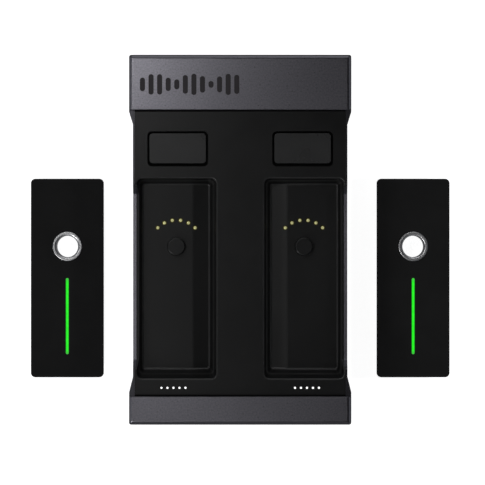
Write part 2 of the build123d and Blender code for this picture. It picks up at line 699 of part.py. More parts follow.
def unit_loft(side, z_low, z_high, inset, mode=Mode.ADD):
    """The transmitter's tapered lower body between two heights, inset by a wall."""
    sections = []
    for z in (z_low, z_high):
        share = (z - PAD_H) / (SPLIT_Z - PAD_H)
        size = [b + (t - b) * share - 2 * inset for b, t in zip(UNIT_BASE_SIZE, UNIT_SIZE)]
        with BuildSketch(unit_plane(side, z)) as section:
            RectangleRounded(*size, 1.0 if inset else UNIT_R)
        sections.append(section.sketch)
    loft(sections, mode=mode)


def make_unit_shell(side):
    """Tapered lower shell of a transmitter, open at the top, with posts for its board."""
    with BuildPart(unit_plane(side)) as unit_shell:
        unit_loft(side, PAD_H, SPLIT_Z, 0)
        unit_loft(side, PAD_H + UNIT_WALL, SPLIT_Z, UNIT_WALL, Mode.SUBTRACT)
        posts([(0, HOLE_DY)], TUBE_R + 1.0, PAD_H, UNIT_BOARD_Z[0])
        posts(UNIT_SCREWS, 1.7, PAD_H + UNIT_WALL - 0.2, UNIT_BOARD_Z[0])
        posts([(0, HOLE_DY)], TUBE_R, 0, 9, Mode.SUBTRACT)
        posts(UNIT_SCREWS, SCREW_R * 0.9, 0, 9, Mode.SUBTRACT)
        posts(UNIT_SCREWS, SCREW_HEAD_R, PAD_H, PAD_H + 1.0, Mode.SUBTRACT)
        posts(contact_places(), PAD_CONTACT_R, 0, 3, Mode.SUBTRACT)
    return unit_shell.part


def make_unit_cover(side):
    """Flat top cover of a transmitter with the spindle hole, the light slot and screw posts."""
    with BuildPart(unit_plane(side)) as unit_cover:
        with BuildSketch(unit_plane(side, SPLIT_Z)):
            RectangleRounded(*UNIT_SIZE, 1.6)
        extrude(amount=UNIT_HEIGHT - SPLIT_Z)
        fillet(unit_cover.faces().sort_by(Axis.Z)[-1].edges(), 0.3)
        with BuildSketch(unit_plane(side, SPLIT_Z)):
            RectangleRounded(*[s - 2 * UNIT_WALL for s in UNIT_SIZE], 1.0)
        extrude(amount=UNIT_HEIGHT - SPLIT_Z - 1.5, mode=Mode.SUBTRACT)
        posts([(0, HOLE_DY)], TUBE_R + 1.2, UNIT_BOARD_Z[1] + 1.0, UNIT_HEIGHT - 1.0)
        posts(UNIT_SCREWS, 1.6, UNIT_BOARD_Z[1], UNIT_HEIGHT - 1.0)
        posts(UNIT_SCREWS, PILOT_R, UNIT_BOARD_Z[1], UNIT_HEIGHT - 1.6, Mode.SUBTRACT)
        posts([(0, HOLE_DY)], TUBE_R, 5, 12, Mode.SUBTRACT)
        posts([(0, HOLE_DY)], FLANGE_R, UNIT_HEIGHT - 0.5, 12, Mode.SUBTRACT)
        with BuildSketch(unit_plane(side, UNIT_HEIGHT - 2)):
            with Locations((0, BAR_DY)):
                RectangleRounded(*BAR_SIZE, BAR_SIZE[0] / 2 - 0.01)
        extrude(amount=3, mode=Mode.SUBTRACT)
    return unit_cover.part


def make_spindle_ring(side):
    """Polished steel eyelet through a transmitter: a flanged tube for a record player's spindle."""
    top = UNIT_HEIGHT + 0.3
    centre = (side * UNIT_X, UNIT_Y + HOLE_DY, 0)
    with BuildPart() as spindle_ring:
        with BuildSketch(Plane(centre, x_dir=(1, 0, 0), z_dir=(0, -1, 0))):
            with BuildLine():
                outside = Polyline(
                    (SPINDLE_R, PAD_H), (TUBE_R, PAD_H), (TUBE_R, UNIT_HEIGHT - 0.5),
                    (FLANGE_R, UNIT_HEIGHT - 0.5), (FLANGE_R, UNIT_HEIGHT - 0.05),
                )
                outer_round = ThreePointArc(
                    outside @ 1, (FLANGE_R - 0.08, top - 0.08), (FLANGE_R - 0.25, top)
                )
                rim = Line(outer_round @ 1, (SPINDLE_R + 0.7, top))
                inner_round = ThreePointArc(
                    rim @ 1, (SPINDLE_R + 0.24, top - 0.22), (SPINDLE_R, top - 0.8)
                )
                Line(inner_round @ 1, outside @ 0)
            make_face()
        revolve(axis=Axis(centre, (0, 0, 1)))
    return spindle_ring.part


def make_light_bar(side):
    """Green light bar in a transmitter's cover, with a foot that keeps it in."""
    with BuildPart() as light_bar:
        with BuildSketch(unit_plane(side, UNIT_HEIGHT - 1.5)):
            with Locations((0, BAR_DY)):
                RectangleRounded(*BAR_SIZE, BAR_SIZE[0] / 2 - 0.01)
        extrude(amount=1.5 + 0.05)
        with BuildSketch(unit_plane(side, UNIT_HEIGHT - 2.2)):
            with Locations((0, BAR_DY)):
                RectangleRounded(BAR_SIZE[0] + 1.2, BAR_SIZE[1] + 1.2, 1.1)
        extrude(amount=0.7)
    return light_bar.part


def make_unit_board(side):
    """Circuit board of a transmitter, round its spindle tube, with the light bar's chips on it."""
    with BuildPart(unit_plane(side)) as unit_board:
        with BuildSketch(unit_plane(side, UNIT_BOARD_Z[0])):
            RectangleRounded(21.0, 63.0, 1.0)
        extrude(amount=UNIT_BOARD_Z[1] - UNIT_BOARD_Z[0])
        with Locations([(0, BAR_DY + dy, UNIT_BOARD_Z[1] + 0.4) for dy in (-11, -5.5, 0, 5.5, 11)]):
            Box(1.6, 2.0, 0.8)
        with Locations((-6.0, -6.0, UNIT_BOARD_Z[1] + 0.45), (5.5, 20.5, UNIT_BOARD_Z[1] + 0.45)):
            Box(4.0, 4.0, 0.9)
        posts([(0, HOLE_DY)], TUBE_R + 0.1, 5, 9, Mode.SUBTRACT)
        posts(UNIT_SCREWS, SCREW_R, 5, 9, Mode.SUBTRACT)
    return unit_board.part


def make_unit_battery(side):
    """Flat pouch battery under a transmitter's board."""
    with BuildPart(unit_plane(side)) as unit_battery:
        with BuildSketch(unit_plane(side, PAD_H + UNIT_WALL)):
            with Locations((0, -10.5)):
                RectangleRounded(18.0, 24.0, 1.5)
        extrude(amount=3.4)
        fillet(unit_battery.edges().group_by(Axis.Z)[-1], 0.8)
    return unit_battery.part


def make_unit_contacts(side):
    """Six gold charging contacts in a transmitter's underside."""
    with BuildPart(unit_plane(side)) as unit_contacts:
        posts(contact_places(), PAD_CONTACT_R, 0.3, PAD_H + UNIT_WALL)
    return unit_contacts.part


def make_unit_pad(side):
    """Rubber pad that a transmitter rests on, open round the spindle hole and each contact."""
    with BuildPart(unit_plane(side)) as unit_pad:
        with BuildSketch(unit_plane(side)):
            RectangleRounded(UNIT_BASE_SIZE[0] - 1.6, UNIT_BASE_SIZE[1] - 1.6, 1.6)
        extrude(amount=PAD_H)
        chamfer(unit_pad.faces().sort_by(Axis.Z)[0].edges(), 0.15)
        posts([(0, HOLE_DY)], TUBE_R, -1, 2, Mode.SUBTRACT)
        posts(contact_places(), PAD_CONTACT_R + 0.15, -1, 2, Mode.SUBTRACT)
    return unit_pad.part


def make_unit_screws(side):
    """Four screws that hold a transmitter's shell, board and cover together."""
    places = [(side * UNIT_X + x, UNIT_Y + y) for x, y in UNIT_SCREWS]
    with BuildPart() as unit_screws:
        posts(places, PILOT_R, PAD_H + 1.0, UNIT_HEIGHT - 2.6)
        posts(places, SCREW_HEAD_R, PAD_H + 0.1, PAD_H + 1.0)
    return unit_screws.part


finish(make_upper_shell(), "upper_shell")
finish(make_band_mark(), "band_mark")
finish(make_base_plate(), "base_plate")
finish(make_feet(), "feet")
finish(make_base_screws(), "base_screws")
finish(make_board_screws(), "board_screws")
finish(make_bay_tray(), "bay_tray")
finish(make_switch_bodies(), "switch_bodies")
finish(make_button_board(), "button_board")
finish(make_level_leds(), "level_leds")
finish(make_light_board(), "light_board")
finish(make_pin_barrels(), "pin_barrels")
finish(make_main_board(), "main_board")
finish(make_board_chips(), "board_chips")
finish(make_radio_shield(), "radio_shield")
finish(make_antenna(), "antenna")
finish(make_rear_panel(), "rear_panel")
finish(make_jack_block(), "jack_block")
finish(make_jack_barrels(), "jack_barrels")
finish(make_jack_inserts((0, 2)), "jack_inserts_white")
finish(make_jack_inserts((1, 3)), "jack_inserts_red")
finish(make_usb_socket(), "usb_socket")

for word, side in SIDES.items():
    finish(make_button(side), f"{word}_button")
    finish(make_switch_plunger(side), f"{word}_switch_plunger")
    finish(make_level_lights(side), f"{word}_level_lights")
    finish(make_contact_block(side), f"{word}_contact_block")
    for number, place in enumerate(pin_places(side), start=1):
        finish(make_pin(place), f"{word}_pin_{number}")
    finish(make_unit_shell(side), f"{word}_unit_shell")
    finish(make_unit_cover(side), f"{word}_unit_cover")
    finish(make_spindle_ring(side), f"{word}_spindle_ring")
    finish(make_light_bar(side), f"{word}_light_bar")
    finish(make_unit_board(side), f"{word}_unit_board")
    finish(make_unit_battery(side), f"{word}_unit_battery")
    finish(make_unit_contacts(side), f"{word}_unit_contacts")
    finish(make_unit_pad(side), f"{word}_unit_pad")
    finish(make_unit_screws(side), f"{word}_unit_screws")
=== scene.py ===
"""The looks of the wireless record-player transmitter set: surfaces, floor, light and camera.

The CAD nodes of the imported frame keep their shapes. Every length is in metres, except the camera's sensor
and lens, which Blender takes in millimetres.
"""

import json
import math

import bpy
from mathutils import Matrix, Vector


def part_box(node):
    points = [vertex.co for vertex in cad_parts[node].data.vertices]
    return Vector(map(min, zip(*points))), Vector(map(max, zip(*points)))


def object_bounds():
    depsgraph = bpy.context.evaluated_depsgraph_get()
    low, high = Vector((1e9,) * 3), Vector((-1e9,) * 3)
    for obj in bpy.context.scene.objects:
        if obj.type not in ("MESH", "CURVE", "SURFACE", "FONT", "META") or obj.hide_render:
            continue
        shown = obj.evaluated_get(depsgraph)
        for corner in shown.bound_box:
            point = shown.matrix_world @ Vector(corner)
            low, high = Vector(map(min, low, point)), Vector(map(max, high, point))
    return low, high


MM = 0.001
BAY_DEPTH = 8.5 * MM
FACE_COLOUR = (0.0042, 0.0042, 0.0044)
HIGHLIGHT_GREY = 0.04                  # of the painted highlight lines round the bays
GAP_SHADE_GREY = 0.001                    # painted shade on unpolished places deep in gaps
GAP_ROUGHNESS = 0.95

# Painted highlight lines round the right bay: an outline's lowest and highest X and Y, and its corner
# radius.
# The left bay's lines are their mirror image.
BAY_RIM = ((8.4 * MM, -48.7 * MM), (36.3 * MM, 21.5 * MM), 1.9 * MM)
BAY_HALF_WAY = ((9.3 * MM, -47.1 * MM), (35.5 * MM, 20.8 * MM), 1.6 * MM)
BAY_FOOT = ((10.5 * MM, -45.6 * MM), (34.6 * MM, 19.85 * MM), 1.3 * MM)

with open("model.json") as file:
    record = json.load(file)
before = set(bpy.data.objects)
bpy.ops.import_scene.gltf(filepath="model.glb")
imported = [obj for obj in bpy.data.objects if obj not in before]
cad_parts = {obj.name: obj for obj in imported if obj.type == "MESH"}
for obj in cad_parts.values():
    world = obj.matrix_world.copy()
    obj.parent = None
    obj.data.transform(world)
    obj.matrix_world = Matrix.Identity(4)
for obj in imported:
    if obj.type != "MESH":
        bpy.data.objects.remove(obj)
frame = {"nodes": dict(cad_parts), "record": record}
cad_low, cad_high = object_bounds()
FACE_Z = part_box("bay_tray")[1].z
BAY_FLOOR_Z = FACE_Z - BAY_DEPTH


def middle_of(box):
    """The middle of a lowest and a highest corner."""
    low, high = box
    return (low + high) / 2


# ---- Node materials ----


class Surface:
    """A node material built up round one Principled shader, in object coordinates."""

    def __init__(self, name, **constants):
        self.material = bpy.data.materials.new(name)
        self.material.use_nodes = True
        self.tree = self.material.node_tree
        self.shader = self.tree.nodes["Principled BSDF"]
        for socket, value in constants.items():
            self.shader.inputs[socket.replace("_", " ")].default_value = value
        self.place = self.node("TexCoord").outputs["Object"]
        self.normal = None

    def node(self, kind, inputs=(), **settings):
        """Adds a shader node. inputs are (socket, value or output) pairs."""
        made = self.tree.nodes.new("ShaderNode" + kind)
        for name, value in settings.items():
            setattr(made, name, value)
        for socket, value in inputs:
            if isinstance(value, bpy.types.NodeSocket):
                self.tree.links.new(value, made.inputs[socket])
            else:
                made.inputs[socket].default_value = value
        return made

    def link(self, output, socket):
        """Drives one of the shader's sockets."""
        self.tree.links.new(output, self.shader.inputs[socket])

    def stretched(self, scale):
        """Object coordinates scaled differently along each axis."""
        return self.node("Mapping", [("Vector", self.place), ("Scale", scale)]).outputs["Vector"]

    def noise(self, size, detail=2.0, roughness=0.5, place=None):
        """Fractal noise whose largest features are about size across."""
        inputs = [
            ("Vector", place or self.place), ("Scale", 1.0 / size),
            ("Detail", detail), ("Roughness", roughness),
        ]
        return self.node("TexNoise", inputs).outputs["Fac"]

    def cells(self, size):
        """Distance to the nearest of many scattered points about size apart."""
        return self.node("TexVoronoi", [("Vector", self.place), ("Scale", 1.0 / size)]).outputs["Distance"]

    def spread(self, value, low, high, start=0.0, end=1.0):
        """Maps start..end to low..high, clamped."""
        inputs = [
            ("Value", value), ("From Min", start), ("From Max", end), ("To Min", low), ("To Max", high),
        ]
        return self.node("MapRange", inputs).outputs["Result"]

    def math(self, operation, a, b=0.0):
        return self.node("Math", [(0, a), (1, b)], operation=operation).outputs[0]

    def mix(self, factor, a, b):
        """Blends two colours."""
        made = self.node("Mix", data_type="RGBA")
        pairs = ((made.inputs[0], factor), (made.inputs[6], a), (made.inputs[7], b))
        for socket, value in pairs:
            if isinstance(value, bpy.types.NodeSocket):
                self.tree.links.new(value, socket)
            else:
                socket.default_value = value
        return made.outputs[2]

    def grade(self, value, start, end, a, b, share=1.0):
        """Colour a up to start, turned by end a share of the way to colour b."""
        return self.mix(self.spread(value, 0.0, share, start, end), a, b)

    def bump(self, height, depth, strength=1.0):
        """Raises the surface by up to depth where height is 1. Bumps add up."""
        inputs = [("Height", height), ("Distance", depth), ("Strength", strength)]
        if self.normal is not None:
            inputs.append(("Normal", self.normal))
        self.normal = self.node("Bump", inputs).outputs["Normal"]
        self.link(self.normal, "Normal")

    def edges(self, radius):
        """About 1 on edges sharper than radius, 0 on flat ground."""
        rounded = self.node("Bevel", [("Radius", radius)], samples=6).outputs["Normal"]
        flat = self.node("NewGeometry").outputs["Normal"]
        turn = self.node("VectorMath", [(0, rounded), (1, flat)], operation="DOT_PRODUCT").outputs["Value"]
        return self.spread(turn, 1.0, 0.0, 0.8, 0.995)

    def axis(self, letter):
        """One object coordinate."""
        return self.node("SeparateXYZ", [("Vector", self.place)]).outputs[letter]

    def above(self, height, soft=0.3 * MM, most=1.0):
        """0 up to a height, and most from soft above it."""
        return self.spread(self.axis("Z"), 0.0, most, height, height + soft)

    def below(self, height, soft=0.3 * MM, most=1.0):
        """most up to a height, and 0 from soft above it."""
        return self.spread(self.axis("Z"), most, 0.0, height, height + soft)

    def outline(self, low, high, radius, inner, outer):
        """1 between two distances from a rounded rectangle, soft-edged, and the same mirrored in X = 0."""
        middle = [(a + b) / 2 for a, b in zip(low, high)]
        half = [(b - a) / 2 - radius for a, b in zip(low, high)]
        reach = []
        for letter, centre, extent in zip("XY", middle, half):
            place = self.axis(letter)
            place = self.math("ABSOLUTE", place) if letter == "X" else place
            away = self.math("ABSOLUTE", self.math("SUBTRACT", place, centre))
            reach.append(self.math("SUBTRACT", away, extent))
        squares = [self.math("POWER", self.math("MAXIMUM", r, 0.0), 2.0) for r in reach]
        outside = self.math("POWER", self.math("ADD", *squares), 0.5)
        inside = self.math("MINIMUM", self.math("MAXIMUM", *reach), 0.0)
        distance = self.math("SUBTRACT", self.math("ADD", outside, inside), radius)
        centred = self.math("ABSOLUTE", self.math("SUBTRACT", distance, (inner + outer) / 2))
        return self.spread(centred, 1.0, 0.0, (outer - inner) * 0.3, (outer - inner) * 0.7)


def rgb(*values):
    """A colour from one grey value or three channel values, all linear."""
    return (*(values * 3 if len(values) == 1 else values), 1.0)


def scaled(colour, factor, lift=0.0):
    """A colour made lighter or darker."""
    return rgb(*[channel * factor + lift for channel in colour])


def moulded(
    name, colour, roughness=0.42, grain=0.14 * MM, depth=4e-6, specular=0.5, highlit=None, gap_shade=None
):
    """Injection-moulded plastic: spark-eroded grain, faint flow marks, edges lighter by wear and painted
    highlight.

    A highlight mask function, if given, marks further places painted lighter: painted highlight lines.
    A gap-shade mask function, if given, marks unpolished places deep in gaps, painted nearly black as shade.
    """
    s = Surface(name, Metallic=0.0, Specular_IOR_Level=specular)
    flow = s.noise(14 * MM, 3.0, 0.6)
    grains = s.cells(grain)
    # Edges lighter and smoother: soft wear, and a painted highlight.
    wear_and_highlight = s.edges(0.25 * MM)
    shade = s.grade(flow, 0.35, 0.65, scaled(colour, 0.92), scaled(colour, 1.08))
    shade = s.mix(s.math("MULTIPLY", wear_and_highlight, 0.35), shade, scaled(colour, 1.9, 0.004))
    sheen = s.spread(flow, roughness - 0.03, roughness + 0.03, 0.3, 0.7)
    sheen = s.math("SUBTRACT", sheen, s.math("MULTIPLY", wear_and_highlight, 0.06))
    # Painted highlight: lighter lines where the highlight mask is set.
    if highlit is not None:
        shade = s.mix(highlit(s), shade, rgb(HIGHLIGHT_GREY))
    # Painted shade deep in gaps: nearly black, and rough.
    if gap_shade is not None:
        deep = gap_shade(s)
        shade = s.mix(deep, shade, rgb(GAP_SHADE_GREY))
        sheen = s.math("MAXIMUM", sheen, s.math("MULTIPLY", deep, GAP_ROUGHNESS))
    s.link(shade, "Base Color")
    s.link(sheen, "Roughness")
    s.bump(grains, depth)
    return s.material


def band_metal():
    """Fine-blasted, dark grey anodised aluminium: edges lighter by wear and painted highlight, painted shade
    on rims.
    """
    s = Surface("band_metal", Metallic=1.0)
    grains = s.noise(0.6 * MM, 3.0, 0.75)
    fine = s.cells(0.16 * MM)
    clouds = s.noise(25 * MM, 2.0)
    # Edges lighter: wear, and a painted highlight.
    wear_and_highlight = s.edges(0.3 * MM)
    tint = s.grade(grains, 0.3, 0.7, rgb(0.238, 0.232, 0.262), rgb(0.375, 0.365, 0.41))
    tint = s.grade(clouds, 0.35, 0.65, tint, rgb(0.27, 0.265, 0.3), 0.25)
    tint = s.mix(s.math("MULTIPLY", wear_and_highlight, 0.15), tint, rgb(0.5, 0.49, 0.53))
    # Painted shade on the rims, ramps and rolled edges.
    s.link(s.mix(shaded_edges(s), tint, rgb(0.1, 0.098, 0.11)), "Base Color")
    s.link(s.spread(grains, 0.27, 0.34, 0.3, 0.7), "Roughness")
    s.bump(fine, 1.2e-6)
    s.bump(grains, 2.5e-6)
    return s.material


def shaded_edges(s):
    """Painted shade, darker than the bands: on the rims beside the face, the notches' ramps and the rolled
    edges.
    """
    facing = s.node("SeparateXYZ", [("Vector", s.node("NewGeometry").outputs["Normal"])]).outputs
    above_notch = s.above(FACE_Z - 3.3 * MM, 0.2 * MM)
    below_band = s.below(FACE_Z + 0.3 * MM, 0.2 * MM)
    upward = s.spread(facing["Z"], 0.0, 1.0, 0.3, 0.6)
    rims = s.math("MULTIPLY", upward, s.math("MULTIPLY", above_notch, below_band))
    not_upright = s.spread(facing["Z"], 0.0, 1.0, 0.1, 0.3)
    rolled = s.math("MULTIPLY", not_upright, s.math("ABSOLUTE", facing["Y"]))
    return s.math("MAXIMUM", rims, s.spread(rolled, 0.0, 0.75, 0.12, 0.3))


def face_black():
    """Satin black moulding, with painted highlight lines round the bays and painted shade where it meets the
    bands.
    """
    return moulded("face_black", FACE_COLOUR, 0.32, 0.16 * MM, 2.2e-6, highlit=bay_highlight_lines, gap_shade=band_joint_shade)


def band_joint_shade(s):
    """The painted shade along the joints where the face plate meets both bands."""
    low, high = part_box("bay_tray")
    away = [s.math("ABSOLUTE", s.math("SUBTRACT", s.axis("Y"), end)) for end in (low.y, high.y)]
    return s.spread(s.math("MINIMUM", *away), 1.0, 0.0, 0.5 * MM, 0.8 * MM)


def bay_highlight_lines(s):
    """The painted highlight lines round both bays: the rim's roll, a line half way down, and the roll at the
    foot.
    """
    rim = s.outline(*BAY_RIM, -0.1 * MM, 0.5 * MM)
    rim = s.math("MULTIPLY", rim, s.above(FACE_Z - 0.9 * MM, most=0.5))
    half_way = s.outline(*BAY_HALF_WAY, -0.25 * MM, 0.15 * MM)
    half_way = s.math("MULTIPLY", half_way, s.below(FACE_Z - 1.2 * MM))
    foot = s.outline(*BAY_FOOT, -0.7 * MM, 0.0)
    foot = s.math("MULTIPLY", foot, s.below(BAY_FLOOR_Z + 0.9 * MM, most=0.5))
    patchy = s.spread(s.noise(5 * MM, 3.0), 0.7, 1.0, 0.35, 0.6)
    return s.math("MULTIPLY", s.math("MAXIMUM", s.math("MAXIMUM", rim, foot), half_way), patchy)


def rubber(name):
    """Matt black rubber with a fine pebbled skin and a trace of dust."""
    s = Surface(name, Metallic=0.0, Specular_IOR_Level=0.35)
    dust = s.noise(3 * MM, 4.0, 0.65)
    s.link(s.grade(dust, 0.5, 0.75, rgb(0.012), rgb(0.03), 0.6), "Base Color")
    s.link(s.spread(dust, 0.7, 0.85), "Roughness")
    s.bump(s.cells(0.3 * MM), 2.0e-5)
    return s.material


def plated(name, colour, roughness, stain, turning=None, glow=0.0):
    """Bright plating over machined metal, with faint stains and, along an axis, fine turning marks.

    glow stands for the light that small bright tips gather from all round.
    """
    s = Surface(name, Metallic=1.0, Emission_Color=rgb(*colour), Emission_Strength=glow)
    patches = s.noise(1.2 * MM, 3.0, 0.6)
    s.link(s.grade(patches, 0.45, 0.75, rgb(*colour), rgb(*stain), 0.7), "Base Color")
    s.link(s.spread(patches, roughness, roughness + 0.12, 0.4, 0.8), "Roughness")
    if turning is not None:
        stretch = [1.0 if i != turning else 40.0 for i in range(3)]
        s.bump(s.noise(2.5 * MM, 2.0, 0.7, s.stretched(stretch)), 1.5e-6)
    else:
        s.bump(s.noise(0.4 * MM, 3.0, 0.7), 1.0e-6)
    return s.material


def chrome_ring():
    """Polished steel with hairline wear."""
    s = Surface("spindle_chrome", Metallic=1.0)
    hair = s.noise(0.5 * MM, 3.0, 0.7, s.stretched((1.0, 1.0, 30.0)))
    smear = s.noise(2.0 * MM, 2.0)
    s.link(s.grade(smear, 0.4, 0.7, rgb(0.78, 0.78, 0.79), rgb(0.66, 0.66, 0.68), 0.5), "Base Color")
    s.link(s.spread(smear, 0.3, 0.34, 0.35, 0.7), "Roughness")
    s.bump(hair, 1.0e-7)
    return s.material


def lit_green(bar):
    """Diffusing lens of a transmitter's light bar: brightest along its middle, dimmer at its ends."""
    middle = middle_of(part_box(bar))
    half_width, half_length = 0.55 * MM, 13.5 * MM
    s = Surface(f"{bar}_green", Roughness=0.3, Specular_IOR_Level=0.3)
    across = s.math("DIVIDE", s.math("ABSOLUTE", s.math("SUBTRACT", s.axis("X"), middle.x)), half_width)
    along = s.math("DIVIDE", s.math("ABSOLUTE", s.math("SUBTRACT", s.axis("Y"), middle.y)), half_length)
    cloud = s.noise(1.0 * MM, 2.0)
    s.link(s.grade(cloud, 0.3, 0.7, rgb(0.02, 0.25, 0.02), rgb(0.03, 0.34, 0.03)), "Base Color")
    glow = s.grade(across, 0.35, 1.0, rgb(0.012, 0.86, 0.012), rgb(0.0, 0.16, 0.0))
    s.link(s.grade(along, 0.88, 1.0, glow, rgb(0.05, 0.2, 0.05), 0.75), "Emission Color")
    s.link(s.spread(cloud, 0.92, 1.08, 0.3, 0.7), "Emission Strength")
    s.bump(s.noise(0.25 * MM, 2.0), 2.0e-6)
    return s.material


def lit_white():
    """Milky light pipe, lit from below."""
    s = Surface("light_pipe", Roughness=0.25)
    cloud = s.noise(0.4 * MM, 2.0)
    s.link(s.mix(cloud, rgb(0.75), rgb(0.9)), "Base Color")
    s.link(s.grade(cloud, 0.3, 0.7, rgb(1.0, 0.99, 0.97), rgb(0.97, 0.985, 1.0)), "Emission Color")
    s.link(s.spread(cloud, 0.92, 1.06, 0.3, 0.7), "Emission Strength")
    return s.material


def circuit_board():
    """Dark solder resist over copper tracks and ground fill, with plated holes."""
    s = Surface("board_black", Roughness=0.3)
    tracks = s.node("TexBrick", [
        ("Vector", s.place), ("Scale", 260.0), ("Mortar Size", 0.08), ("Mortar Smooth", 0.3),
        ("Color1", rgb(0.006, 0.024, 0.013)), ("Color2", rgb(0.004, 0.018, 0.01)),
        ("Mortar", rgb(0.012, 0.045, 0.025)),
    ])
    pads = s.cells(2.1 * MM)
    s.link(s.grade(pads, 0.1, 0.13, rgb(0.55, 0.42, 0.2), tracks.outputs["Color"]), "Base Color")
    s.link(s.spread(pads, 0.22, 0.36, 0.1, 0.13), "Roughness")
    s.bump(tracks.outputs["Fac"], 2.0e-5)
    return s.material


def foil():
    """Matt laminated battery foil with soft creases."""
    s = Surface("battery_foil", Metallic=0.85)
    creases = s.noise(4 * MM, 4.0, 0.6)
    s.link(s.mix(creases, rgb(0.42, 0.42, 0.44), rgb(0.6, 0.6, 0.62)), "Base Color")
    s.link(s.spread(creases, 0.35, 0.5), "Roughness")
    s.bump(creases, 1.5e-4, 0.5)
    return s.material


def brushed(name, colour, roughness, axis):
    """Rolled or drawn steel with brush lines across one axis."""
    s = Surface(name, Metallic=1.0)
    stretch = [1.0 if i == axis else 45.0 for i in range(3)]
    lines = s.noise(3 * MM, 3.0, 0.7, s.stretched(stretch))
    s.link(s.mix(lines, scaled(colour, 0.8), scaled(colour, 1.15)), "Base Color")
    s.link(s.spread(lines, roughness - 0.06, roughness + 0.08), "Roughness")
    s.bump(lines, 1.5e-6)
    return s.material


def film():
    """Amber antenna film with its printed copper meander."""
    s = Surface("antenna_film", Roughness=0.35)
    meander = s.node("TexBrick", [
        ("Vector", s.place), ("Scale", 400.0), ("Mortar Size", 0.12),
        ("Color1", rgb(0.36, 0.15, 0.03)), ("Color2", rgb(0.4, 0.17, 0.035)),
        ("Mortar", rgb(0.62, 0.3, 0.14)),
    ])
    s.link(meander.outputs["Color"], "Base Color")
    s.bump(meander.outputs["Fac"], 1.5e-5)
    return s.material


surfaces = {
    "band_metal": band_metal(),
    "band_mark": moulded("band_mark", (0.023, 0.018, 0.022), 0.45, 0.2 * MM, 3e-6),
    "face_black": face_black(),
    "button_black": moulded(
        "button_black", (0.027, 0.027, 0.0274), 0.28, 0.18 * MM, 2.2e-6,
        # Painted shade on the button's sides below the face, in the gap round it.
        gap_shade=lambda s: s.below(FACE_Z - 0.3 * MM, 0.1 * MM),
    ),
    "base_black": moulded("base_black", (0.012, 0.012, 0.0125), 0.5, 0.35 * MM, 1.2e-5),
    "pan_black": moulded("pan_black", (0.011, 0.011, 0.0115), 0.48, 0.3 * MM, 1.0e-5),
    "switch_plastic": moulded("switch_plastic", (0.025, 0.025, 0.027), 0.45),
    "contact_plastic": moulded("contact_plastic", (0.016, 0.016, 0.018), 0.45),
    "chip_black": moulded("chip_black", (0.016, 0.016, 0.017), 0.55, 0.1 * MM, 5e-6),
    "unit_black": moulded("unit_black", (0.0172, 0.0172, 0.0174), 0.65, 0.12 * MM, 1.5e-6, 0.03),
    "unit_shell_black": moulded("unit_shell_black", (0.0075, 0.0075, 0.0078), 0.45, 0.2 * MM, 4e-6),
    "insert_white": moulded("insert_white", (0.68, 0.67, 0.64), 0.28, 0.4 * MM, 1.5e-6),
    "insert_red": moulded("insert_red", (0.45, 0.012, 0.01), 0.28, 0.4 * MM, 1.5e-6),
    "led_chip": moulded("led_chip", (0.75, 0.7, 0.42), 0.35, 0.2 * MM, 2e-6),
    "foot_rubber": rubber("foot_rubber"),
    "pad_rubber": rubber("pad_rubber"),
    "pin_gold": plated("pin_gold", (0.95, 0.92, 0.46), 0.3, (0.86, 0.83, 0.4), glow=0.24),
    "barrel_dark": plated("barrel_dark", (0.15, 0.13, 0.03), 0.35, (0.07, 0.06, 0.02)),
    "jack_gold": plated("jack_gold", (0.88, 0.62, 0.26), 0.18, (0.6, 0.4, 0.16), 1),
    "screw_steel": plated("screw_steel", (0.09, 0.09, 0.095), 0.35, (0.045, 0.045, 0.05), 2),
    "usb_steel": brushed("usb_steel", (0.52, 0.52, 0.54), 0.28, 1),
    "shield_steel": brushed("shield_steel", (0.5, 0.5, 0.52), 0.3, 0),
    "spindle_chrome": chrome_ring(),
    "light_pipe": lit_white(),
    "board_black": circuit_board(),
    "battery_foil": foil(),
    "antenna_film": film(),
}
for subpart in frame["record"]["subparts"]:
    node, finish = subpart["node"], subpart["material_slot"]
    material = lit_green(node) if finish == "light_green" else surfaces[finish]
    for slot in frame["nodes"][node].material_slots:
        slot.material = material


# ---- Floor, backdrop and light ----

FLOOR_SIZE = 12.0
FLOOR_GAP = 0.1 * MM                # keeps the floor off the undersides that stand on it
FLOOR_GLOW = 0.93
FLOOR_IN_GLOSS = (0.2, 0.09)        # radiance towards the left and towards the right
FLOOR_FADE = (-0.1, 0.1)            # X between which it falls from one to the other
BACKDROP = 0.97                     # radiance of the world to the eye
HORIZON = 0.25                      # its radiance as a light low down
AMBIENT = 0.006                     # and overhead
WORLD_FADE = (0.25, 0.7)            # sine of the elevations between which it falls
OVERHEAD = 0.336                    # height of the softboxes over the floor
RING_CARD_SIZE = (0.04, 0.04)
RING_CARDS = (("left", 0.55), ("right", 0.85))      # radiance over each transmitter's ring
RING_RADIUS = 0.6                   # of the softboxes that stand round the set
RING_BOX_WIDTH = 0.5
RING_BOX_AIM = Vector((0, 0, 0.03))

# The bright boxes stand to the left, so the satin faces grade from light at the left to dark at the right.
OVERHEAD_BOXES = (                  # name, X and Y, size, radiance
    ("key_front", (-0.244, -0.224), (0.14, 0.14), 8.4),
    ("key_rear", (-0.08, 0.10), (0.05, 0.06), 5.9),
    ("left_rear", (-0.22, 0.09), (0.06, 0.10), 3.7),
    ("front_strip", (-0.05, -0.24), (0.05, 0.06), 3.0),
    ("middle_front", (-0.05, -0.04), (0.05, 0.06), 1.0),
    ("middle_rear", (-0.05, 0.06), (0.05, 0.12), 0.33),
    ("right_fill", (0.0, -0.12), (0.06, 0.08), 0.33),
)
RING_BOXES = (                      # name, azimuth and elevation in degrees, height, radiance
    ("rear_mid", 90, 28, 0.2, 1.4),
    ("rear_low", 90, 8, 0.14, 0.13),
    ("front_mid", 270, 28, 0.2, 0.13),
)


